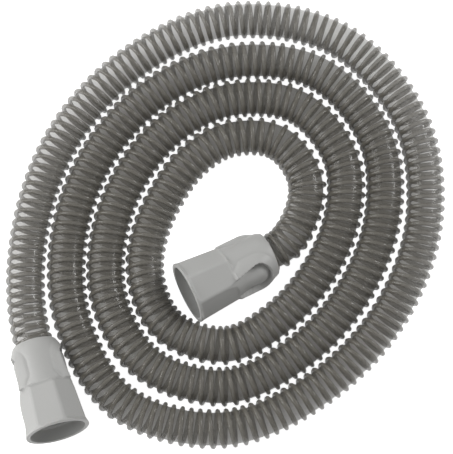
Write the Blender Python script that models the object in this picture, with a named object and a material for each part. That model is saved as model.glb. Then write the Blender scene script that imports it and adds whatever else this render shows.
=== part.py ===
"""Breathing hose, coiled flat, with a moulded connector cuff on each end.

Metres, +Z up. The object lies on the plane z = 0 as the hose comes to rest: three and a half turns
side by side, one cuff outside the coil and the other in its middle.
"""
import math

import bmesh
import bpy
from mathutils import Matrix, Vector

MM = 0.001

# Hose
HOSE_DIAMETER = 18.2 * MM
HOSE_BORE = 15.0 * MM
HOSE_HEIGHT = HOSE_DIAMETER / 2
POINTS_PER_SPAN = 5 / 3
TUBE_BEVEL_RESOLUTION = 4

# The coil: distance of the hose's middle from the coil's centre at twelve clock positions a turn,
# clockwise from nine o'clock, the outer turn first
COIL_CENTRE = Vector((0.215 * MM, -3.722 * MM))
FIRST_CLOCK_ANGLE = 180
CLOCK_STEP = 30
TURN_RADII = (
    (95.9, 92.9, 97.0, 107.7, 112.9, 106.6, 96.5, 90.6, 91.8, 100.2, 100.9, 87.1),
    (76.3, 73.2, 77.1, 85.5, 92.3, 86.7, 75.8, 70.2, 72.1, 79.8, 78.2, 66.7),
    (56.6, 53.6, 57.4, 65.4, 71.8, 66.4, 55.7, 50.4, 52.3, 59.5, 57.3, 45.9),
    (36.5, 33.5, 37.1, 45.0, 50.7, 45.6, 34.4),
)

# Cuff, along its axis from the hose end
CUFF_LENGTH = 45.0 * MM
CUFF_REAR_RADIUS = 10.3 * MM
CUFF_BODY_RADIUS = 12.4 * MM
CUFF_SHOULDER_RADIUS = 13.65 * MM
CUFF_MOUTH_RADIUS = 15.5 * MM
CUFF_REAR_ROUNDING = 8.0 * MM
CUFF_SHOULDER_AT = 22.4 * MM
CUFF_SHOULDER_STEP = 0.7 * MM
CUFF_SHOULDER_WIDTH = 1.0 * MM
CUFF_EDGE_ROUNDING = 0.5 * MM

# Cuff section: seven soft flats that fade out into the round mouth
FLAT_COUNT = 7
FIRST_CORNER = math.radians(-34)
BODY_FLAT_DEPTH = 0.045
SKIRT_FLAT_DEPTH = 0.071
FLAT_FADE_LENGTH = 5.0 * MM

# Finger recesses round the cuff's rear half, each with a raised band, running out in the skirt
RECESS_COUNT = 3
RECESS_END_AT = 10.4 * MM
RECESS_RADIUS = 4.5 * MM
RECESS_FLOOR_FROM_AXIS = 11.3 * MM
RECESS_EDGE = 1.2 * MM
RECESS_NARROWING = 0.2
RECESS_RAMP_FROM = 18.0 * MM
RECESS_RAMP_TO = 26.0 * MM
BAND_FOOT = 9.2 * MM
BAND_FOOT_AT_SHOULDER = 7.4 * MM
BAND_TURNS_IN_AT = 17.0 * MM
BAND_HEIGHT = 0.9 * MM

# Cuff inside: hose seat, stop, 22 mm cone socket and a wide lead-in at the mouth
SEAT_CLEARANCE = 0.32 * MM
SEAT_DEPTH = 16.5 * MM
STOP_THICKNESS = 2.0 * MM
SOCKET_LENGTH = 20.0 * MM
SOCKET_MOUTH_RADIUS = 11.25 * MM
SOCKET_TAPER = 1 / 40
MOUTH_WALL = 2.1 * MM
LEAD_IN_RADIUS = CUFF_MOUTH_RADIUS - MOUTH_WALL
LEAD_IN_DRAFT = 0.3 * MM

# How each cuff lies: middle of its mouth, heading of its mouth and roll of the first recess
OUTER_CUFF_MOUTH = Vector((-80.0 * MM, -103.0 * MM))
OUTER_CUFF_HEADING = math.radians(-73.6)
OUTER_CUFF_ROLL = math.radians(52)
INNER_CUFF_MOUTH = Vector((-19.1 * MM, -35.2 * MM))
INNER_CUFF_HEADING = math.radians(-152.4)
INNER_CUFF_ROLL = math.radians(-76)
CUFF_TILT = math.radians(5.0)
HOSE_LEAD_OUT = 5.0 * MM

# Mesh steps of a cuff
RING_STEP = 1.25 * MM
SKIRT_STEP = 4.0 * MM
SECTION_SIDES = 75

HOSE_COLOUR = (0.115, 0.108, 0.092, 1.0)
CUFF_COLOUR = (0.40, 0.40, 0.385, 1.0)


def clear_scene():
    """Remove every object of the open scene."""
    for old in list(bpy.data.objects):
        bpy.data.objects.remove(old, do_unlink=True)


def make_material(name, colour, roughness):
    """Principled material with one colour."""
    material = bpy.data.materials.new(name)
    material.use_nodes = True
    shader = material.node_tree.nodes["Principled BSDF"]
    shader.inputs["Base Color"].default_value = colour
    shader.inputs["Roughness"].default_value = roughness
    shader.inputs["Metallic"].default_value = 0.0
    return material


def ease(low, high, value):
    """0 below low, 1 above high, and a smooth step between them."""
    share = min(1.0, max(0.0, (value - low) / (high - low)))
    return share * share * (3.0 - 2.0 * share)


def body_radius(station):
    """Corner radius of the cuff's outside at a distance from its hose end."""
    proud = shoulder_share(station)
    share = min(1.0, station / CUFF_SHOULDER_AT)
    low = CUFF_SHOULDER_RADIUS - CUFF_SHOULDER_STEP
    rear = CUFF_BODY_RADIUS + (low - CUFF_BODY_RADIUS) * share * share
    if station < CUFF_REAR_ROUNDING:
        inward = 1.0 - station / CUFF_REAR_ROUNDING
        rear -= (CUFF_BODY_RADIUS - CUFF_REAR_RADIUS) * (1.0 - math.sqrt(1.0 - inward * inward))
    share = (station - CUFF_SHOULDER_AT) / (CUFF_LENGTH - CUFF_SHOULDER_AT)
    skirt = CUFF_SHOULDER_RADIUS + (CUFF_MOUTH_RADIUS - CUFF_SHOULDER_RADIUS) * share
    return rear + (skirt - rear) * proud


def shoulder_share(station):
    """0 on the rear half of the cuff, 1 on its mouth half."""
    half = CUFF_SHOULDER_WIDTH / 2
    return ease(CUFF_SHOULDER_AT - half, CUFF_SHOULDER_AT + half, station)


def flat_depth(station):
    """Depth of the flats at a station, as a share of the radius."""
    depth = BODY_FLAT_DEPTH + (SKIRT_FLAT_DEPTH - BODY_FLAT_DEPTH) * shoulder_share(station)
    depth *= ease(0.0, CUFF_REAR_ROUNDING, station)
    return depth * ease(0.0, FLAT_FADE_LENGTH, CUFF_LENGTH - station)


def flat_factor(turn, depth):
    """How far the section lies in at an angle from the first recess, as a factor on the radius."""
    pitch = 2.0 * math.pi / FLAT_COUNT
    from_flat = (turn - FIRST_CORNER) % pitch - pitch / 2
    return min(1.0, (1.0 - depth) / math.cos(from_flat))


def from_recess(turn):
    """Angle from the middle line of the nearest recess."""
    pitch = 2.0 * math.pi / RECESS_COUNT
    return (turn + pitch / 2) % pitch - pitch / 2


def band_height(station, reach, edge):
    """Height of the band, which rises from its foot to the edge of the recess at a reach."""
    foot = BAND_FOOT
    foot += (BAND_FOOT_AT_SHOULDER - BAND_FOOT) * ease(BAND_TURNS_IN_AT, CUFF_SHOULDER_AT, station)
    down = min(1.0, max(0.0, (reach - edge) / (foot - edge)))
    height = BAND_HEIGHT * (1.0 - down * down)
    return height * (1.0 - shoulder_share(station)) * ease(0.0, 2 * RECESS_EDGE, station)


def outer_radius(station, turn):
    """Radius of the cuff's outside at a station and an angle from the first recess."""
    radius = body_radius(station) * flat_factor(turn, flat_depth(station))
    aside = from_recess(turn)
    reach = math.hypot(min(0.0, station - RECESS_END_AT), math.sin(aside) * CUFF_BODY_RADIUS)
    narrowed = RECESS_RADIUS - RECESS_NARROWING * max(0.0, station - RECESS_END_AT)
    radius += band_height(station, reach, narrowed + RECESS_EDGE)
    inside = 1.0 - ease(narrowed, narrowed + RECESS_EDGE, reach)
    inside *= 1.0 - ease(RECESS_RAMP_FROM, RECESS_RAMP_TO, station)
    floor = min(radius, RECESS_FLOOR_FROM_AXIS / math.cos(aside))
    return radius + (floor - radius) * inside


def section_angles():
    """Angles round the cuff from the first recess."""
    return [2.0 * math.pi * side / SECTION_SIDES for side in range(SECTION_SIDES)]


def evenly(low, high, step):
    """Values from low up to high, high left out, about one step apart."""
    count = max(1, round((high - low) / step))
    return [low + (high - low) * index / count for index in range(count)]


def outside_rings(angles):
    """Rings of (station, radii) over the cuff's outside, hose end first."""
    half = CUFF_SHOULDER_WIDTH / 2
    stations = evenly(CUFF_EDGE_ROUNDING, CUFF_SHOULDER_AT - half, RING_STEP)
    stations += [CUFF_SHOULDER_AT - half, CUFF_SHOULDER_AT, CUFF_SHOULDER_AT + half]
    skirt_end = CUFF_LENGTH - CUFF_EDGE_ROUNDING
    stations += evenly(CUFF_SHOULDER_AT + 2 * half, RECESS_RAMP_TO, RING_STEP)
    stations += evenly(RECESS_RAMP_TO, skirt_end, SKIRT_STEP) + [skirt_end]
    first = [outer_radius(CUFF_EDGE_ROUNDING, turn) - CUFF_EDGE_ROUNDING for turn in angles]
    rings = [(0.0, first)]
    rings += [(at, [outer_radius(at, turn) for turn in angles]) for at in stations]
    rings.append((CUFF_LENGTH, [CUFF_MOUTH_RADIUS - CUFF_EDGE_ROUNDING] * len(angles)))
    return rings


def inside_rings(angles):
    """Rings of (station, radii) down the cuff's inside, mouth first."""
    seat_radius = HOSE_DIAMETER / 2 + SEAT_CLEARANCE
    socket_floor = SEAT_DEPTH + STOP_THICKNESS
    socket_mouth = socket_floor + SOCKET_LENGTH
    rounding = CUFF_EDGE_ROUNDING
    profile = (
        (CUFF_LENGTH, LEAD_IN_RADIUS + rounding),
        (CUFF_LENGTH - rounding, LEAD_IN_RADIUS),
        (socket_mouth + rounding, LEAD_IN_RADIUS - LEAD_IN_DRAFT),
        (socket_mouth, SOCKET_MOUTH_RADIUS + rounding),
        (socket_mouth - rounding, SOCKET_MOUTH_RADIUS),
        (socket_floor, SOCKET_MOUTH_RADIUS - SOCKET_TAPER / 2 * SOCKET_LENGTH),
        (socket_floor, HOSE_BORE / 2),
        (SEAT_DEPTH, HOSE_BORE / 2),
        (SEAT_DEPTH, seat_radius),
        (0.0, seat_radius),
    )
    return [(station, [radius] * len(angles)) for station, radius in profile]


def cuff_mesh(name):
    """Hollow cuff along local +X, hose end at the origin, first recess towards local +Z."""
    angles = section_angles()
    mesh = bmesh.new()
    loops = []
    for station, radii in outside_rings(angles) + inside_rings(angles):
        loop = []
        for turn, radius in zip(angles, radii):
            loop.append(mesh.verts.new((station, radius * math.sin(turn), radius * math.cos(turn))))
        loops.append(loop)
    count = len(angles)
    for index, loop in enumerate(loops):
        following = loops[(index + 1) % len(loops)]
        for side in range(count):
            ahead = (side + 1) % count
            mesh.faces.new((loop[side], loop[ahead], following[ahead], following[side]))
    bmesh.ops.recalc_face_normals(mesh, faces=mesh.faces)
    data = bpy.data.meshes.new(name)
    mesh.to_mesh(data)
    mesh.free()
    data.shade_smooth()
    data.set_sharp_from_angle(angle=math.radians(40))
    return data


def make_cuff(name, mouth, heading, roll, material):
    """Cuff resting on the floor with its mouth turned up by the tilt."""
    cuff = bpy.data.objects.new(name, cuff_mesh(name))
    cuff.data.materials.append(material)
    bpy.context.collection.objects.link(cuff)
    turned = (
        Matrix.Rotation(heading, 4, "Z")
        @ Matrix.Rotation(-CUFF_TILT, 4, "Y")
        @ Matrix.Rotation(-roll, 4, "X")
    )
    lowest = min((turned @ vertex.co).z for vertex in cuff.data.vertices)
    hose_end = COIL_CENTRE + mouth - (turned @ Vector((CUFF_LENGTH, 0.0, 0.0))).to_2d()
    cuff.matrix_world = Matrix.Translation((hose_end.x, hose_end.y, -lowest)) @ turned
    return cuff


def coil_points():
    """Points of the coil's turns, from the outer cuff inwards."""
    points = []
    for turn in TURN_RADII:
        for radius in turn:
            angle = math.radians(FIRST_CLOCK_ANGLE - CLOCK_STEP * len(points))
            middle = COIL_CENTRE + Vector((math.cos(angle), math.sin(angle))) * radius * MM
            points.append(Vector((middle.x, middle.y, HOSE_HEIGHT)))
    return points


def seated_points(cuff):
    """Points on a cuff's axis: the hose's end in its seat, the cuff's rim and a straight lead-out."""
    stations = (SEAT_DEPTH - SEAT_CLEARANCE, 0.0, -HOSE_LEAD_OUT)
    return [cuff.matrix_world @ Vector((station, 0.0, 0.0)) for station in stations]


def slope_at(points, index):
    """Direction of the smooth curve at one of its points, from the spans on both sides."""
    if index == 0 or index == len(points) - 1:
        near = 1 if index == 0 else -1
        step = (points[index + near] - points[index]) * near
        return step / step.length
    behind = points[index] - points[index - 1]
    ahead = points[index + 1] - points[index]
    weighted = behind / behind.length * ahead.length + ahead / ahead.length * behind.length
    return weighted / (behind.length + ahead.length)


def smooth_point(points, along):
    """Point of the smooth curve through the points, at a place counted in spans."""
    span = min(int(along), len(points) - 2)
    share = along - span
    start, end = points[span], points[span + 1]
    reach = (end - start).length
    square, cube = share ** 2, share ** 3
    point = (
        start * (2 * cube - 3 * square + 1)
        + slope_at(points, span) * reach * (cube - 2 * square + share)
        + end * (3 * square - 2 * cube)
        + slope_at(points, span + 1) * reach * (cube - square)
    )
    point.z = max(point.z, HOSE_HEIGHT)
    return point


def make_hose(outer_cuff, inner_cuff, material):
    """Plain round hose along the coil, with an end seated in each cuff."""
    route = seated_points(outer_cuff) + coil_points() + seated_points(inner_cuff)[::-1]
    spans = len(route) - 1
    steps = round(spans * POINTS_PER_SPAN)
    points = [smooth_point(route, spans * step / steps) for step in range(steps + 1)]
    curve = bpy.data.curves.new("hose", "CURVE")
    curve.dimensions = "3D"
    curve.twist_mode = "Z_UP"
    curve.bevel_depth = HOSE_DIAMETER / 2
    curve.bevel_resolution = TUBE_BEVEL_RESOLUTION
    curve.use_fill_caps = True
    line = curve.splines.new("POLY")
    line.points.add(len(points) - 1)
    for target, point in zip(line.points, points):
        target.co = (*point, 1.0)
    line.use_smooth = True
    curve.materials.append(material)
    hose = bpy.data.objects.new("hose", curve)
    bpy.context.collection.objects.link(hose)
    return hose


def main():
    """Build the two cuffs and the hose between them."""
    clear_scene()
    outer_cuff = make_cuff(
        "device_end_cuff",
        OUTER_CUFF_MOUTH,
        OUTER_CUFF_HEADING,
        OUTER_CUFF_ROLL,
        make_material("device_end_cuff", CUFF_COLOUR, 0.55),
    )
    inner_cuff = make_cuff(
        "mask_end_cuff",
        INNER_CUFF_MOUTH,
        INNER_CUFF_HEADING,
        INNER_CUFF_ROLL,
        make_material("mask_end_cuff", CUFF_COLOUR, 0.55),
    )
    make_hose(outer_cuff, inner_cuff, make_material("hose", HOSE_COLOUR, 0.35))


main()
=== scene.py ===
"""Finished look of the breathing hose: a smoky ribbed hose in a flat coil, and two moulded cuffs.

Metres, +Z up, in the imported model's frame. The hose's route and the cuffs' main sizes repeat the
model's own. The helical rib, the see-through wall between its turns, and the cuffs' moulded
surface with its two wide recesses are added here.
"""
import logging
import math
from collections.abc import Iterator
from dataclasses import dataclass, field
from enum import Enum

import bmesh
import bpy
from mathutils import Matrix, Vector


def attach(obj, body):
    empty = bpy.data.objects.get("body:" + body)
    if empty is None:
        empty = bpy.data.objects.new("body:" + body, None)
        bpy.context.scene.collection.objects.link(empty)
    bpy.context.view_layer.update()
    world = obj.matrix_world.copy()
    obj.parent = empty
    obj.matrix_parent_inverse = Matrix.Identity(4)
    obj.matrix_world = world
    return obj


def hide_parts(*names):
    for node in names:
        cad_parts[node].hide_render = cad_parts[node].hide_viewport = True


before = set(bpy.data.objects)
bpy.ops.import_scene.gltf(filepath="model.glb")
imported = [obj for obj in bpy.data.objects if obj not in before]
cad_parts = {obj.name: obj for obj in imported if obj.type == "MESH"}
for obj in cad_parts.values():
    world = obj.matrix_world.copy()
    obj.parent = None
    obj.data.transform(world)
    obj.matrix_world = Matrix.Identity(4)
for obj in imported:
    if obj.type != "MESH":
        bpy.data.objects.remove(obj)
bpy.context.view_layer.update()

MM = 0.001
BODY = "root"
COIL_CENTRE = (0.215 * MM, -3.722 * MM)
LOG = logging.getLogger("breathing_hose")

# The Mix node has several sockets of each name, so its colour ones are taken by their places.
MIX_FACTOR, MIX_FIRST, MIX_SECOND, MIX_RESULT = 0, 6, 7, 2

Colour = tuple[float, float, float]


class Slot(Enum):
    """Material slots of the record."""

    HOSE = "hose"
    CUFF = "cuff"


class Normals(Enum):
    """How a curve's normals are found."""

    LEVEL = "Z_UP"
    GIVEN = "FREE"


def ease(low: float, high: float, value: float) -> float:
    """Smooth step.

    Args:
        low: Value at which the step starts.
        high: Value at which the step ends.
        value: Value to place on the step.

    Returns:
        0 below low, 1 above high, and a smooth rise between them.
    """
    share = min(1.0, max(0.0, (value - low) / (high - low)))
    return share * share * (3.0 - 2.0 * share)


def evenly(low: float, high: float, step: float) -> list[float]:
    """Evenly spaced values.

    Args:
        low: First value.
        high: End of the stretch, which is left out.
        step: Wanted distance between two values.

    Returns:
        The values, about one step apart.
    """
    count = max(1, round((high - low) / step))
    return [low + (high - low) * index / count for index in range(count)]


def link_object(name: str, data: bpy.types.ID) -> bpy.types.Object:
    """Put data into the scene.

    Args:
        name: Name of the new object.
        data: Its mesh, light or camera.

    Returns:
        The object, unturned at the origin.
    """
    made = bpy.data.objects.new(name, data)
    bpy.context.scene.collection.objects.link(made)
    return made


class Graph:
    """A node tree with short ways to add nodes and to feed their sockets."""

    def __init__(self, tree: bpy.types.NodeTree) -> None:
        """Take an empty tree."""
        self.tree = tree

    def add(self, kind: str, **settings: object) -> bpy.types.Node:
        """Add a node.

        Args:
            kind: The node's type name.
            **settings: Properties to set on it.

        Returns:
            The new node.
        """
        node = self.tree.nodes.new(kind)
        for key, value in settings.items():
            setattr(node, key, value)
        return node

    def feed(self, socket: bpy.types.NodeSocket, value: object) -> None:
        """Link a socket to the input, or set the value on it.

        Args:
            socket: The input.
            value: Another node's output, or a plain value.
        """
        if isinstance(value, bpy.types.NodeSocket):
            self.tree.links.new(value, socket)
        else:
            socket.default_value = value

    def make(
        self, kind: str, inputs: dict[str, object], **settings: object
    ) -> bpy.types.NodeSocket:
        """Add a node and feed it.

        Args:
            kind: The node's type name.
            inputs: Socket names and what each one gets.
            **settings: Properties to set on the node.

        Returns:
            The node's first output.
        """
        node = self.add(kind, **settings)
        for name, value in inputs.items():
            self.feed(node.inputs[name], value)
        return node.outputs[0]

    def math(self, operation: str, first: object, second: object = 0.0) -> bpy.types.NodeSocket:
        """Add a Math node.

        Args:
            operation: The node's operation.
            first: First operand.
            second: Second operand, where the operation has one.

        Returns:
            The result's socket.
        """
        node = self.add("ShaderNodeMath", operation=operation)
        self.feed(node.inputs[0], first)
        self.feed(node.inputs[1], second)
        return node.outputs[0]

    def vector(self, operation: str, first: object, second: object) -> bpy.types.NodeSocket:
        """Add a Vector Math node.

        Args:
            operation: The node's operation.
            first: First operand.
            second: Second operand, or the factor of a scaling.

        Returns:
            The result's socket.
        """
        node = self.add("ShaderNodeVectorMath", operation=operation)
        self.feed(node.inputs[0], first)
        self.feed(node.inputs["Scale"] if operation == "SCALE" else node.inputs[1], second)
        return node.outputs[0]

    def ramp(self, value: object, low: object, high: object) -> bpy.types.NodeSocket:
        """Map a value from 0 to 1 to a stretch between two numbers.

        Args:
            value: The value.
            low: Result at 0.
            high: Result at 1.

        Returns:
            The result's socket.
        """
        return self.make("ShaderNodeMapRange", {"Value": value, "To Min": low, "To Max": high})


class Finish(Graph):
    """Material under construction, with its Principled shader and its Object coordinates."""

    def __init__(self, name: str, slot_colour: Colour, roughness: float) -> None:
        """Start a material.

        Args:
            name: Name of the material.
            slot_colour: Base colour.
            roughness: Base roughness.
        """
        self.material = bpy.data.materials.new(name)
        self.material.use_nodes = True
        super().__init__(self.material.node_tree)
        self.shader = self.tree.nodes["Principled BSDF"]
        self.shader.inputs["Base Color"].default_value = (*slot_colour, 1.0)
        self.shader.inputs["Roughness"].default_value = roughness
        self.place = self.add("ShaderNodeTexCoord").outputs["Object"]

    def noise(self, scale: float, detail: float) -> bpy.types.NodeSocket:
        """Noise on the Object coordinates.

        Args:
            scale: Waves a metre.
            detail: Octaves.

        Returns:
            The noise's value, from 0 to 1.
        """
        return self.make(
            "ShaderNodeTexNoise", {"Vector": self.place, "Scale": scale, "Detail": detail}
        )

    def tints(self, value: object, dark: Colour, light: Colour) -> bpy.types.NodeSocket:
        """Mix two colours by a value.

        Args:
            value: 0 for the dark one, 1 for the light one.
            dark: Dark colour.
            light: Light colour.

        Returns:
            The mixed colour's socket.
        """
        node = self.add("ShaderNodeMix", data_type="RGBA")
        self.feed(node.inputs[MIX_FACTOR], value)
        self.feed(node.inputs[MIX_FIRST], (*dark, 1.0))
        self.feed(node.inputs[MIX_SECOND], (*light, 1.0))
        return node.outputs[MIX_RESULT]

    def bump(self, height: bpy.types.NodeSocket, depth: float) -> None:
        """Raise the surface by a height texture.

        Args:
            height: The texture's value, from 0 to 1.
            depth: How far it raises the surface, in metres.
        """
        normal = self.make(
            "ShaderNodeBump", {"Height": height, "Distance": depth, "Strength": 1.0}
        )
        self.feed(self.shader.inputs["Normal"], normal)

    def dress(self, piece: bpy.types.Object) -> None:
        """Give the material to a piece, as its only one."""
        piece.data.materials.clear()
        piece.data.materials.append(self.material)


@dataclass(frozen=True)
class RibPlastic:
    """Smoky glossy plastic of the helical rib."""

    dark: Colour = (0.132, 0.122, 0.102)
    light: Colour = (0.205, 0.192, 0.163)
    roughness: float = 0.17
    opacity: float = 0.54
    cloud_scale: float = 60.0
    cloud_detail: float = 3.0
    ripple_scale: float = 380.0
    ripple_detail: float = 2.0
    ripple_depth: float = 0.035 * MM

    def finish(self) -> Finish:
        """Build the material: clouds of a lighter shade, and a faint ripple.

        Returns:
            The material with its shader set up.
        """
        made = Finish("smoky_rib", self.dark, self.roughness)
        clouds = made.noise(self.cloud_scale, self.cloud_detail)
        made.feed(made.shader.inputs["Base Color"], made.tints(clouds, self.dark, self.light))
        made.shader.inputs["Alpha"].default_value = self.opacity
        made.bump(made.noise(self.ripple_scale, self.ripple_detail), self.ripple_depth)
        return made


@dataclass(frozen=True)
class WallPlastic:
    """Thin see-through plastic between the rib's turns."""

    dark: Colour = (0.20, 0.187, 0.160)
    light: Colour = (0.28, 0.265, 0.232)
    roughness: float = 0.12
    opacity: float = 0.32
    cloud_scale: float = 45.0
    cloud_detail: float = 2.0

    def finish(self) -> Finish:
        """Build the material: a smoky tint that lets the floor show through.

        Returns:
            The material with its shader set up.
        """
        made = Finish("smoky_wall", self.dark, self.roughness)
        clouds = made.noise(self.cloud_scale, self.cloud_detail)
        made.feed(made.shader.inputs["Base Color"], made.tints(clouds, self.dark, self.light))
        made.shader.inputs["Alpha"].default_value = self.opacity
        return made


@dataclass(frozen=True)
class CuffRubber:
    """Satin light grey elastomer of the moulded cuffs."""

    dark: Colour = (0.395, 0.395, 0.384)
    light: Colour = (0.435, 0.435, 0.424)
    smooth: float = 0.42
    rough: float = 0.55
    cloud_scale: float = 40.0
    cloud_detail: float = 3.0
    grain_scale: float = 2600.0
    grain_detail: float = 2.0
    grain_depth: float = 0.012 * MM

    def finish(self) -> Finish:
        """Build the material: soft clouds in colour and gloss, and a fine moulded grain.

        Returns:
            The material with its shader set up.
        """
        made = Finish("satin_cuff", self.dark, self.smooth)
        clouds = made.noise(self.cloud_scale, self.cloud_detail)
        made.feed(made.shader.inputs["Base Color"], made.tints(clouds, self.dark, self.light))
        made.feed(made.shader.inputs["Roughness"], made.ramp(clouds, self.smooth, self.rough))
        made.bump(made.noise(self.grain_scale, self.grain_detail), self.grain_depth)
        return made


@dataclass(frozen=True)
class Cuff:
    """Moulded connector cuff, from its hose end to its mouth."""

    name: str
    mouth: tuple[float, float]
    heading: float
    roll: float
    tilt: float = math.radians(5.0)

    length: float = 45.0 * MM
    rear_radius: float = 10.3 * MM
    body_radius: float = 12.4 * MM
    shoulder_radius: float = 13.65 * MM
    mouth_radius: float = 15.5 * MM
    rear_rounding: float = 8.0 * MM
    shoulder_at: float = 22.4 * MM
    shoulder_step: float = 0.8 * MM
    shoulder_width: float = 0.9 * MM
    bead_height: float = 0.45 * MM
    bead_width: float = 0.6 * MM
    edge_rounding: float = 0.5 * MM
    rear_rim_shares: tuple[float, ...] = (0.0, 0.15, 0.5)
    mouth_rim_steps: int = 5

    flat_count: int = 7
    first_corner: float = math.radians(-72.5)
    flat_depth: float = 0.085
    flat_fade: float = 2.0 * MM

    recess_count: int = 2
    recess_full_at: float = 10.7 * MM
    recess_arch: float = 6.2 * MM
    recess_half_width: float = 8.2 * MM
    recess_floor: float = 12.4 * MM
    recess_moat: float = 2.1 * MM
    moat_power: int = 3
    recess_edge: float = 1.0 * MM
    recess_narrowing: float = 0.22
    groove_fades_from: float = 12.0 * MM
    ramp_from: float = 18.0 * MM
    ramp_to: float = 31.0 * MM
    band_foot: float = 13.6 * MM
    band_foot_at_shoulder: float = 10.5 * MM
    band_turns_in_at: float = 17.0 * MM
    band_height: float = 1.75 * MM
    band_grows_over: float = 5.0 * MM
    foot_groove: float = 0.2 * MM
    foot_groove_width: float = 0.8 * MM
    band_share_at_arch: float = 0.35

    seat_radius: float = 9.42 * MM
    seat_depth: float = 16.5 * MM
    seat_clearance: float = 0.32 * MM
    bore_radius: float = 7.5 * MM
    stop_thickness: float = 2.0 * MM
    socket_length: float = 20.0 * MM
    socket_radius: float = 11.25 * MM
    socket_taper: float = 1 / 40
    lead_in_radius: float = 13.4 * MM
    lead_in_draft: float = 0.3 * MM
    step_edge_share: float = 0.3

    angle_count: int = 180
    ring_step: float = 0.4 * MM
    sharp_angle: float = math.radians(50)

    def body_at(self, station: float) -> float:
        """Corner radius of the outside, with the bead just past the shoulder.

        Args:
            station: Distance from the hose end.

        Returns:
            The radius there.
        """
        share = min(1.0, station / self.shoulder_at)
        low = self.shoulder_radius - self.shoulder_step
        rear = self.body_radius + (low - self.body_radius) * share * share
        if station < self.rear_rounding:
            inward = 1.0 - station / self.rear_rounding
            drop = 1.0 - math.sqrt(1.0 - inward * inward)
            rear -= (self.body_radius - self.rear_radius) * drop
        share = (station - self.shoulder_at) / (self.length - self.shoulder_at)
        skirt = self.shoulder_radius + (self.mouth_radius - self.shoulder_radius) * share
        from_bead = (station - self.shoulder_at - self.bead_width / 2) / self.bead_width
        bead = self.bead_height * math.exp(-from_bead * from_bead)
        return rear + (skirt - rear) * self.skirt_share(station) + bead

    def skirt_share(self, station: float) -> float:
        """0 on the rear half of the cuff at a station, 1 on its mouth half."""
        half = self.shoulder_width / 2
        return ease(self.shoulder_at - half, self.shoulder_at + half, station)

    def flat_factor(self, station: float, turn: float) -> float:
        """How far the skirt's flats draw the section in.

        Args:
            station: Distance from the hose end.
            turn: Angle from the first recess.

        Returns:
            A factor on the corner radius.
        """
        depth = self.flat_depth * self.skirt_share(station)
        depth *= ease(0.0, self.flat_fade, self.length - station)
        pitch = 2.0 * math.pi / self.flat_count
        from_flat = (turn - self.first_corner) % pitch - pitch / 2
        return min(1.0, (1.0 - depth) / math.cos(from_flat))

    def band_at(self, station: float, reach: float, edge: float) -> float:
        """Height of the raised band round a recess.

        Args:
            station: Distance from the hose end.
            reach: Distance from the recess's middle line.
            edge: Distance of the recess's edge from that line.

        Returns:
            The height, which rises evenly from the band's foot to the edge, less the crease along
            the foot.
        """
        inwards = ease(self.band_turns_in_at, self.shoulder_at, station)
        foot = self.band_foot + (self.band_foot_at_shoulder - self.band_foot) * inwards
        down = min(1.0, max(0.0, (reach - edge) / (foot - edge)))
        from_foot = (reach - foot) / self.foot_groove_width
        height = self.band_height * (1.0 - down)
        height -= self.foot_groove * math.exp(-from_foot * from_foot)
        grown = ease(0.0, self.band_grows_over, station)
        return height * (1.0 - self.skirt_share(station)) * grown

    def outer_radius(self, station: float, turn: float) -> float:
        """Radius of the moulded outside.

        Args:
            station: Distance from the hose end.
            turn: Angle from the first recess.

        Returns:
            The radius there, with flats, shoulder, recesses and their raised bands.
        """
        radius = self.body_at(station) * self.flat_factor(station, turn)
        pitch = 2.0 * math.pi / self.recess_count
        aside = (turn + pitch / 2) % pitch - pitch / 2
        before = (
            min(0.0, station - self.recess_full_at) * self.recess_half_width / self.recess_arch
        )
        reach = math.hypot(before, aside * self.body_radius)
        past = max(0.0, station - self.recess_full_at)
        wall = self.recess_half_width - self.recess_edge / 2 - self.recess_narrowing * past
        beside = abs(aside) * self.body_radius / max(reach, self.recess_edge)
        lower = self.band_share_at_arch + (1.0 - self.band_share_at_arch) * beside ** 2
        radius += self.band_at(station, reach, wall + self.recess_edge) * lower
        inside = 1.0 - ease(wall, wall + self.recess_edge, reach)
        groove = self.recess_moat * min(1.0, reach / wall) ** self.moat_power
        groove *= 1.0 - ease(self.groove_fades_from, self.shoulder_at, station)
        floor = self.recess_floor - groove
        floor += (self.body_at(self.ramp_to) - floor) * ease(self.ramp_from, self.ramp_to, station)
        return radius + min(0.0, floor - radius) * inside

    def rounded(
        self, station: float, radius: float, outward: int
    ) -> Iterator[tuple[float, float]]:
        """Quarter round of the mouth's rim.

        Args:
            station: Where the round's flat side lies.
            radius: Radius of the wall that it meets.
            outward: 1 on the outside, walking to the rim, and -1 on the inside, walking in.

        Yields:
            Pairs of station and radius.
        """
        for step in range(1, self.mouth_rim_steps):
            angle = math.pi / 2 * step / self.mouth_rim_steps
            lift = math.sin(angle) if outward > 0 else math.cos(angle)
            inset = 1.0 - math.cos(angle) if outward > 0 else 1.0 - math.sin(angle)
            yield (
                station - self.edge_rounding * (1.0 - lift),
                radius - outward * self.edge_rounding * inset,
            )

    def outside_rings(self, angles: list[float]) -> list[tuple[float, list[float]]]:
        """Rings over the outside.

        Args:
            angles: Angles of a ring's points.

        Returns:
            Pairs of station and radii, the hose end first.
        """
        skirt_end = self.length - self.edge_rounding
        stations = evenly(self.edge_rounding, skirt_end, self.ring_step) + [skirt_end]
        rounding = [self.edge_rounding * share for share in self.rear_rim_shares]
        rings = []
        for at in rounding:
            inset = self.edge_rounding - math.sqrt(
                max(0.0, self.edge_rounding ** 2 - (self.edge_rounding - at) ** 2)
            )
            radii = [self.outer_radius(self.edge_rounding, turn) - inset for turn in angles]
            rings.append((at, radii))
        rings += [(at, [self.outer_radius(at, turn) for turn in angles]) for at in stations]
        rim = self.mouth_radius - self.edge_rounding
        rings += [
            (at, [radius] * len(angles))
            for at, radius in self.rounded(self.length, self.mouth_radius, 1)
        ]
        rings.append((self.length, [rim] * len(angles)))
        return rings

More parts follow.
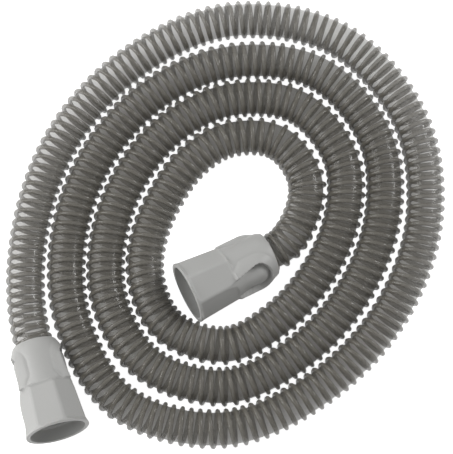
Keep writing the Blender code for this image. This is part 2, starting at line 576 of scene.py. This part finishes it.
    def inside_profile(self) -> list[tuple[float, float]]:
        """Profile of the inside.

        Returns:
            Pairs of station and radius, the mouth first: lead-in, 22 mm cone, stop and seat.
        """
        floor = self.seat_depth + self.stop_thickness
        step = floor + self.socket_length
        rounding = self.edge_rounding
        edge = self.step_edge_share * rounding
        profile = [(self.length, self.lead_in_radius + rounding)]
        profile += self.rounded(self.length, self.lead_in_radius, -1)
        profile += [
            (self.length - rounding, self.lead_in_radius),
            (step + rounding, self.lead_in_radius - self.lead_in_draft),
            (step + edge, self.lead_in_radius - self.lead_in_draft - edge),
            (step, self.lead_in_radius - self.lead_in_draft - rounding),
            (step, self.socket_radius + rounding),
            (step - edge, self.socket_radius + edge),
            (step - rounding, self.socket_radius),
            (floor, self.socket_radius - self.socket_taper / 2 * self.socket_length),
            (floor, self.bore_radius),
            (self.seat_depth, self.bore_radius),
            (self.seat_depth, self.seat_radius),
            (0.0, self.seat_radius),
        ]
        return profile

    def mesh(self) -> bpy.types.Mesh:
        """Hollow cuff along local +X.

        Returns:
            A closed mesh with the hose end at the origin and the first recess towards local +Z.
        """
        angles = [2.0 * math.pi * index / self.angle_count for index in range(self.angle_count)]
        rings = self.outside_rings(angles)
        rings += [(at, [radius] * len(angles)) for at, radius in self.inside_profile()]
        made = bmesh.new()
        loops = [
            [
                made.verts.new((station, radius * math.sin(turn), radius * math.cos(turn)))
                for turn, radius in zip(angles, radii)
            ]
            for station, radii in rings
        ]
        for index, loop in enumerate(loops):
            following = loops[(index + 1) % len(loops)]
            for side in range(len(angles)):
                ahead = (side + 1) % len(angles)
                made.faces.new((loop[side], loop[ahead], following[ahead], following[side]))
        bmesh.ops.recalc_face_normals(made, faces=made.faces)
        data = bpy.data.meshes.new(self.name)
        made.to_mesh(data)
        made.free()
        data.shade_smooth()
        data.set_sharp_from_angle(angle=self.sharp_angle)
        return data

    def lie(self, centre: Vector, data: bpy.types.Mesh) -> Matrix:
        """How the cuff rests on the floor.

        Args:
            centre: Middle of the coil.
            data: The cuff's mesh in its own frame.

        Returns:
            The matrix that takes the cuff from its own frame to its place.
        """
        turned = (
            Matrix.Rotation(self.heading, 4, "Z")
            @ Matrix.Rotation(-self.tilt, 4, "Y")
            @ Matrix.Rotation(-self.roll, 4, "X")
        )
        lowest = min((turned @ vertex.co).z for vertex in data.vertices)
        reach = turned @ Vector((self.length, 0.0, 0.0))
        end = centre + Vector(self.mouth) - reach.to_2d()
        return Matrix.Translation((end.x, end.y, -lowest)) @ turned


@dataclass
class CuffPiece:
    """A cuff made and put in its place."""

    cuff: Cuff
    centre: Vector
    piece: bpy.types.Object = field(init=False)
    matrix: Matrix = field(init=False)

    def build(self, finish: Finish) -> bpy.types.Object:
        """Make the cuff's mesh in its place.

        Args:
            finish: The cuffs' material.

        Returns:
            The piece, which stands for the cuff's node.
        """
        data = self.cuff.mesh()
        self.matrix = self.cuff.lie(self.centre, data)
        data.transform(self.matrix)
        self.piece = link_object(f"{self.cuff.name}_moulding", data)
        finish.dress(self.piece)
        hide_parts(self.cuff.name)
        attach(self.piece, BODY)
        return self.piece

    def axis_point(self, station: float) -> Vector:
        """Point on the cuff's axis, at a distance from its hose end."""
        return self.matrix @ Vector((station, 0.0, 0.0))


@dataclass(frozen=True)
class Route:
    """Middle line of the hose, from the outer cuff through the coil to the inner one.

    The radii are distances from the coil's centre in millimetres, at twelve clock positions a
    turn, clockwise from nine o'clock, the outer turn first.
    """

    centre: Vector
    height: float
    lead_out: float = 5.0 * MM
    first_angle: int = 180
    clock_step: int = 30
    steps_per_span: int = 24
    radii: tuple[tuple[float, ...], ...] = (
        (95.9, 92.9, 97.0, 107.7, 112.9, 106.6, 96.5, 90.6, 91.8, 100.2, 100.9, 87.1),
        (76.3, 73.2, 77.1, 85.5, 92.3, 86.7, 75.8, 70.2, 72.1, 79.8, 78.2, 66.7),
        (56.6, 53.6, 57.4, 65.4, 71.8, 66.4, 55.7, 50.4, 52.3, 59.5, 57.3, 45.9),
        (36.5, 33.5, 37.1, 45.0, 50.7, 45.6, 34.4),
    )

    def coil(self) -> list[Vector]:
        """Lay out the coil's turns.

        Returns:
            Their points, from the outer cuff inwards.
        """
        points = []
        for radius in (radius for turn in self.radii for radius in turn):
            angle = math.radians(self.first_angle - self.clock_step * len(points))
            middle = self.centre + Vector((math.cos(angle), math.sin(angle))) * radius * MM
            points.append(Vector((middle.x, middle.y, self.height)))
        return points

    def seated(self, piece: CuffPiece) -> list[Vector]:
        """Points on a cuff's axis: the hose's end in its seat, the cuff's rim and a lead-out."""
        stations = (piece.cuff.seat_depth - piece.cuff.seat_clearance, 0.0, -self.lead_out)
        return [piece.axis_point(station) for station in stations]

    @staticmethod
    def slope(points: list[Vector], index: int) -> Vector:
        """Direction of the smooth curve at one of its points.

        Args:
            points: The curve's points.
            index: Which of them.

        Returns:
            The mean of the directions on both sides, weighted by the other side's length.
        """
        if index in (0, len(points) - 1):
            near = 1 if index == 0 else -1
            step = (points[index + near] - points[index]) * near
            return step / step.length
        behind = points[index] - points[index - 1]
        ahead = points[index + 1] - points[index]
        weighted = behind / behind.length * ahead.length + ahead / ahead.length * behind.length
        return weighted / (behind.length + ahead.length)

    def line(self, outer: CuffPiece, inner: CuffPiece) -> list[Vector]:
        """The whole middle line, finely stepped.

        Args:
            outer: Cuff outside the coil.
            inner: Cuff in the coil's middle.

        Returns:
            Points of a smooth curve, seat end to seat end.
        """
        points = self.seated(outer) + self.coil() + self.seated(inner)[::-1]
        slopes = [self.slope(points, index) for index in range(len(points))]
        made = []
        for span in range(len(points) - 1):
            start, end = points[span], points[span + 1]
            reach = (end - start).length
            for step in range(self.steps_per_span):
                share = step / self.steps_per_span
                square, cube = share ** 2, share ** 3
                made.append(
                    start * (2 * cube - 3 * square + 1)
                    + slopes[span] * reach * (cube - 2 * square + share)
                    + end * (3 * square - 2 * cube)
                    + slopes[span + 1] * reach * (cube - square)
                )
        made.append(points[-1])
        for point in made:
            point.z = max(point.z, self.height)
        return made


class SweepTree(Graph):
    """Geometry nodes that sweep a round section along the hose's middle line.

    With a coil radius the section runs round the line as a right-handed helix, and without one it
    follows the line itself.
    """

    INPUTS = (
        ("Step", "NodeSocketFloat"),
        ("Section Radius", "NodeSocketFloat"),
        ("Section Sides", "NodeSocketInt"),
        ("Coil Radius", "NodeSocketFloat"),
        ("Pitch", "NodeSocketFloat"),
        ("Caps", "NodeSocketBool"),
        ("Material", "NodeSocketMaterial"),
    )

    def __init__(self, name: str) -> None:
        """Build the tree under a name."""
        super().__init__(bpy.data.node_groups.new(name, "GeometryNodeTree"))
        face = self.tree.interface
        face.new_socket("Geometry", in_out="INPUT", socket_type="NodeSocketGeometry")
        self.sockets = {
            label: face.new_socket(label, in_out="INPUT", socket_type=kind).identifier
            for label, kind in self.INPUTS
        }
        face.new_socket("Geometry", in_out="OUTPUT", socket_type="NodeSocketGeometry")
        self.given = self.add("NodeGroupInput").outputs
        self.wire()

    def curve_normal(self, curve: object, normals: Normals, given: object) -> bpy.types.NodeSocket:
        """Set how a curve's normals are found.

        Args:
            curve: The curve's socket.
            normals: Which way.
            given: The normals' field, for the given ones.

        Returns:
            The curve with its normals.
        """
        inputs = {"Curve": curve}
        if normals is Normals.GIVEN:
            inputs["Normal"] = given
        return self.make("GeometryNodeSetCurveNormal", inputs, mode=normals.value)

    def wire(self) -> None:
        """Wire the tree: line, helix round it, section swept along, material."""
        line = self.make("GeometryNodeMeshToCurve", {"Mesh": self.given["Geometry"]})
        line = self.make(
            "GeometryNodeResampleCurve",
            {"Curve": line, "Length": self.given["Step"]},
            mode="LENGTH",
        )
        line = self.curve_normal(line, Normals.LEVEL, None)
        along = self.add("GeometryNodeSplineParameter").outputs["Length"]
        turns = self.math("DIVIDE", along, self.given["Pitch"])
        phase = self.math("MULTIPLY", turns, 2.0 * math.pi)
        normal = self.add("GeometryNodeInputNormal").outputs[0]
        tangent = self.add("GeometryNodeInputTangent").outputs[0]
        aside = self.vector("CROSS_PRODUCT", tangent, normal)
        outward = self.vector(
            "ADD",
            self.vector("SCALE", normal, self.math("COSINE", phase)),
            self.vector("SCALE", aside, self.math("SINE", phase)),
        )
        keep = self.add("GeometryNodeCaptureAttribute", domain="POINT")
        keep.capture_items.new("VECTOR", "Outward")
        self.feed(keep.inputs["Geometry"], line)
        self.feed(keep.inputs["Outward"], outward)
        offset = self.vector("SCALE", keep.outputs["Outward"], self.given["Coil Radius"])
        helix = self.make(
            "GeometryNodeSetPosition", {"Geometry": keep.outputs["Geometry"], "Offset": offset}
        )
        helix = self.curve_normal(helix, Normals.GIVEN, keep.outputs["Outward"])
        section = self.make(
            "GeometryNodeCurvePrimitiveCircle",
            {"Resolution": self.given["Section Sides"], "Radius": self.given["Section Radius"]},
        )
        swept = self.make(
            "GeometryNodeCurveToMesh",
            {"Curve": helix, "Profile Curve": section, "Fill Caps": self.given["Caps"]},
        )
        swept = self.make("GeometryNodeSetShadeSmooth", {"Geometry": swept})
        swept = self.make("GeometryNodeRealizeInstances", {"Geometry": swept})
        swept = self.make(
            "GeometryNodeSetMaterial", {"Geometry": swept, "Material": self.given["Material"]}
        )
        self.feed(self.add("NodeGroupOutput").inputs["Geometry"], swept)

    def sweep(self, name: str, line: list[Vector], values: dict[str, object]) -> bpy.types.Object:
        """Run the tree and keep what it makes as a plain mesh.

        Args:
            name: Name of the piece.
            line: Points of the middle line.
            values: The tree's inputs by name.

        Returns:
            The piece, without the modifier.
        """
        data = bpy.data.meshes.new(name)
        data.from_pydata(line, [(index, index + 1) for index in range(len(line) - 1)], [])
        piece = link_object(name, data)
        modifier = piece.modifiers.new("sweep", "NODES")
        modifier.node_group = self.tree
        for label, value in values.items():
            modifier[self.sockets[label]] = value
        graph = bpy.context.evaluated_depsgraph_get()
        baked = bpy.data.meshes.new_from_object(piece.evaluated_get(graph))
        piece.modifiers.remove(modifier)
        piece.data = baked
        bpy.data.meshes.remove(data)
        baked.name = name
        return piece


@dataclass
class RibbedHose:
    """Thin see-through tube with a rounded rib wound round it."""

    line: list[Vector]
    crest_radius: float = 9.7 * MM
    rib_radius: float = 1.2 * MM
    wall_radius: float = 7.9 * MM
    pitch: float = 4.68 * MM
    steps_per_turn: int = 28
    rib_sides: int = 8
    wall_step: float = 2.2 * MM
    wall_sides: int = 40
    wall_twist_pitch: float = 1.0

    @property
    def diameter(self) -> float:
        """Diameter over the rib."""
        return 2.0 * self.crest_radius

    @property
    def length(self) -> float:
        """Length of the middle line."""
        return sum((b - a).length for a, b in zip(self.line, self.line[1:]))

    def build_rib(self, tree: SweepTree, finish: Finish) -> bpy.types.Object:
        """Wind the rib.

        Args:
            tree: The sweeping nodes.
            finish: The rib's material.

        Returns:
            The rib's piece.
        """
        return tree.sweep(
            "hose_rib",
            self.line,
            {
                "Step": self.pitch / self.steps_per_turn,
                "Section Radius": self.rib_radius,
                "Section Sides": self.rib_sides,
                "Coil Radius": self.crest_radius - self.rib_radius,
                "Pitch": self.pitch,
                "Caps": True,
                "Material": finish.material,
            },
        )

    def build_wall(self, tree: SweepTree, finish: Finish) -> bpy.types.Object:
        """Make the tube under the rib.

        Args:
            tree: The sweeping nodes.
            finish: The wall's material.

        Returns:
            The tube's piece, open at both ends.
        """
        return tree.sweep(
            "hose_wall",
            self.line,
            {
                "Step": self.wall_step,
                "Section Radius": self.wall_radius,
                "Section Sides": self.wall_sides,
                "Coil Radius": 0.0,
                "Pitch": self.wall_twist_pitch,
                "Caps": False,
                "Material": finish.material,
            },
        )

    def build(self, mask_cuff: bpy.types.Object, exit_point: Vector) -> None:
        """Args:
            mask_cuff: The moulding on the hose's far end. Not used.
            exit_point: Where the hose leaves the first cuff. Not used.
        """
        tree = SweepTree("hose_sweep")
        rib = self.build_rib(tree, RibPlastic().finish())
        wall = self.build_wall(tree, WallPlastic().finish())
        for piece in (rib, wall):
            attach(piece, BODY)
            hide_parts("hose")
        self.length


@dataclass(frozen=True)
class Lamp:
    """Soft square lamp that looks at the object.

    The azimuth is the direction it stands in, from +X towards +Y, and the height is its height
    above the horizon, both in degrees. The size is the square's side, and the power is in watts.
    """

    name: str
    azimuth: float
    height: float
    size: float
    power: float


@dataclass(frozen=True)
class Studio:
    """Camera, lamps, world and floor."""

    aim: tuple[float, float, float] = (*COIL_CENTRE, 9.5 * MM)
    elevation: float = math.radians(74.0)
    distance: float = 1.1
    lens: float = 178.0
    sensor: float = 36.0
    floor_reach: float = 3.0
    floor_colour: Colour = (0.8, 0.8, 0.8)
    floor_roughness: float = 0.9
    floor_glow: float = 0.95
    # Painted shade under the hose: the floor's own light where the hose covers it, dimmer inside
    # the coil than outside it, set by these values down to the coil's squash.
    painted_shade_glow_inner: float = 0.08
    painted_shade_glow_outer: float = 0.52
    painted_shade_centre: tuple[float, float, float] = (0.0, -8.0 * MM, 0.0)
    painted_shade_stretch: tuple[float, float] = (80.0 * MM, 101.0 * MM)
    coil_long_axis: tuple[float, float, float] = (0.5, 0.866, 0.0)
    coil_squash: float = 0.257
    side_fill: float = 0.48
    top_fill: float = 0.29
    lamps: tuple[Lamp, ...] = (
        Lamp("key_left", azimuth=182.0, height=34.0, size=0.9, power=10.0),
        Lamp("rim_right", azimuth=25.0, height=28.0, size=0.4, power=5.0),
    )

    def camera(self) -> None:
        """Stand the camera at the photograph's angle."""
        data = bpy.data.cameras.new("camera")
        data.lens = self.lens
        data.sensor_width = self.sensor
        made = link_object("camera", data)
        back = Vector((0.0, -math.cos(self.elevation), math.sin(self.elevation)))
        made.location = Vector(self.aim) + back * self.distance
        made.rotation_euler = (-back).to_track_quat("-Z", "Y").to_euler()
        bpy.context.scene.camera = made

    def hang(self, lamp: Lamp) -> None:
        """Hang a lamp as far from the object as the camera.

        Args:
            lamp: The lamp.
        """
        data = bpy.data.lights.new(lamp.name, "AREA")
        data.shape = "SQUARE"
        data.size = lamp.size
        data.energy = lamp.power
        made = link_object(lamp.name, data)
        turn, up = math.radians(lamp.azimuth), math.radians(lamp.height)
        towards = Vector(
            (math.cos(turn) * math.cos(up), math.sin(turn) * math.cos(up), math.sin(up))
        )
        made.location = Vector(self.aim) + towards * self.distance
        made.rotation_euler = towards.to_track_quat("Z", "Y").to_euler()

    def seen(self, graph: Graph) -> bpy.types.NodeSocket:
        """1 for camera, mirror and see-through rays, and 0 for the light that falls on things.

        Args:
            graph: The tree to build in.

        Returns:
            The value's socket.
        """
        rays = graph.add("ShaderNodeLightPath").outputs
        either = graph.math("MAXIMUM", rays["Is Camera Ray"], rays["Is Glossy Ray"])
        return graph.math("MAXIMUM", either, rays["Is Transmission Ray"])

    def glow_with_painted_shade(self, finish: Finish) -> bpy.types.NodeSocket:
        """Own light of the floor, cut down where it is seen through the smoky hose: painted shade
        under the hose.

        Args:
            finish: The floor's material.

        Returns:
            The strength's socket. Under the hose the painted shade thins towards the outside of
            the coil, along ovals that follow the coil's shape.
        """
        low, high = self.painted_shade_stretch
        away = finish.vector("SUBTRACT", finish.place, self.painted_shade_centre)
        along = finish.vector("DOT_PRODUCT", away, self.coil_long_axis).node.outputs["Value"]
        away = finish.vector("DOT_PRODUCT", away, away).node.outputs["Value"]
        squashed = finish.math("MULTIPLY", finish.math("MULTIPLY", along, along), self.coil_squash)
        away = finish.math("SUBTRACT", away, squashed)
        past = finish.math("SUBTRACT", away, low * low)
        share = finish.math("DIVIDE", past, high * high - low * low)
        under_hose_painted_shade = finish.ramp(share, self.painted_shade_glow_inner, self.painted_shade_glow_outer)
        # Painted shade: where the floor is seen through the hose, its own light drops to the
        # painted shade values.
        layers = finish.add("ShaderNodeLightPath").outputs["Transparent Depth"]
        through = finish.ramp(finish.math("MINIMUM", layers, 1.0), self.floor_glow, under_hose_painted_shade)
        return finish.math("MULTIPLY", self.seen(finish), through)

    def world(self) -> None:
        """Even fill from all round, white where it is seen."""
        world = bpy.data.worlds.new("studio")
        world.use_nodes = True
        bpy.context.scene.world = world
        graph = Graph(world.node_tree)
        node = world.node_tree.nodes["Background"]
        node.inputs["Color"].default_value = (1.0, 1.0, 1.0, 1.0)
        towards = graph.add("ShaderNodeTexCoord").outputs["Generated"]
        split = graph.add("ShaderNodeSeparateXYZ")
        graph.feed(split.inputs[0], towards)
        fill = graph.ramp(split.outputs["Z"], self.side_fill, self.top_fill)
        graph.feed(node.inputs["Strength"], graph.ramp(self.seen(graph), fill, 1.0))

    def floor(self) -> None:
        """Plain white floor that keeps the object's shadow, with painted shade in its own light
        under the hose.
        """
        data = bpy.data.meshes.new("floor")
        reach = self.floor_reach
        corners = [(-reach, -reach, 0), (reach, -reach, 0), (reach, reach, 0), (-reach, reach, 0)]
        data.from_pydata(corners, [], [(0, 1, 2, 3)])
        piece = link_object("floor", data)
        finish = Finish("floor_paper", self.floor_colour, self.floor_roughness)
        finish.shader.inputs["Specular IOR Level"].default_value = 0.0
        finish.shader.inputs["Emission Color"].default_value = (1.0, 1.0, 1.0, 1.0)
        finish.feed(finish.shader.inputs["Emission Strength"], self.glow_with_painted_shade(finish))
        finish.dress(piece)

    def build(self) -> None:
        """Set up the camera, the lamps, the world and the floor."""
        self.camera()
        for lamp in self.lamps:
            self.hang(lamp)
        self.world()
        self.floor()
        bpy.context.scene.view_settings.view_transform = "Standard"


def main() -> None:
    """Build the studio, the cuffs and the hose, and report each piece."""
    logging.basicConfig(level=logging.INFO, format="%(message)s")
    Studio().build()
    centre = Vector(COIL_CENTRE)
    device_cuff = Cuff(
        "device_end_cuff",
        mouth=(-80.0 * MM, -103.0 * MM),
        heading=math.radians(-73.6),
        roll=math.radians(92.0),
    )
    mask_cuff = Cuff(
        "mask_end_cuff",
        mouth=(-19.1 * MM, -35.2 * MM),
        heading=math.radians(-152.4),
        roll=math.radians(61.0),
    )
    rubber = CuffRubber().finish()
    outer, inner = CuffPiece(device_cuff, centre), CuffPiece(mask_cuff, centre)
    for made in (outer, inner):
        piece = made.build(rubber)
        LOG.info("%s: %d faces", piece.name, len(piece.data.polygons))
    route = Route(centre, height=RibbedHose.crest_radius)
    hose = RibbedHose(route.line(outer, inner))
    hose.build(inner.piece, outer.axis_point(0.0))
    LOG.info("hose: %.3f m long, %.1f mm over its rib", hose.length, hose.diameter / MM)


if __name__ == "__main__":
    main()
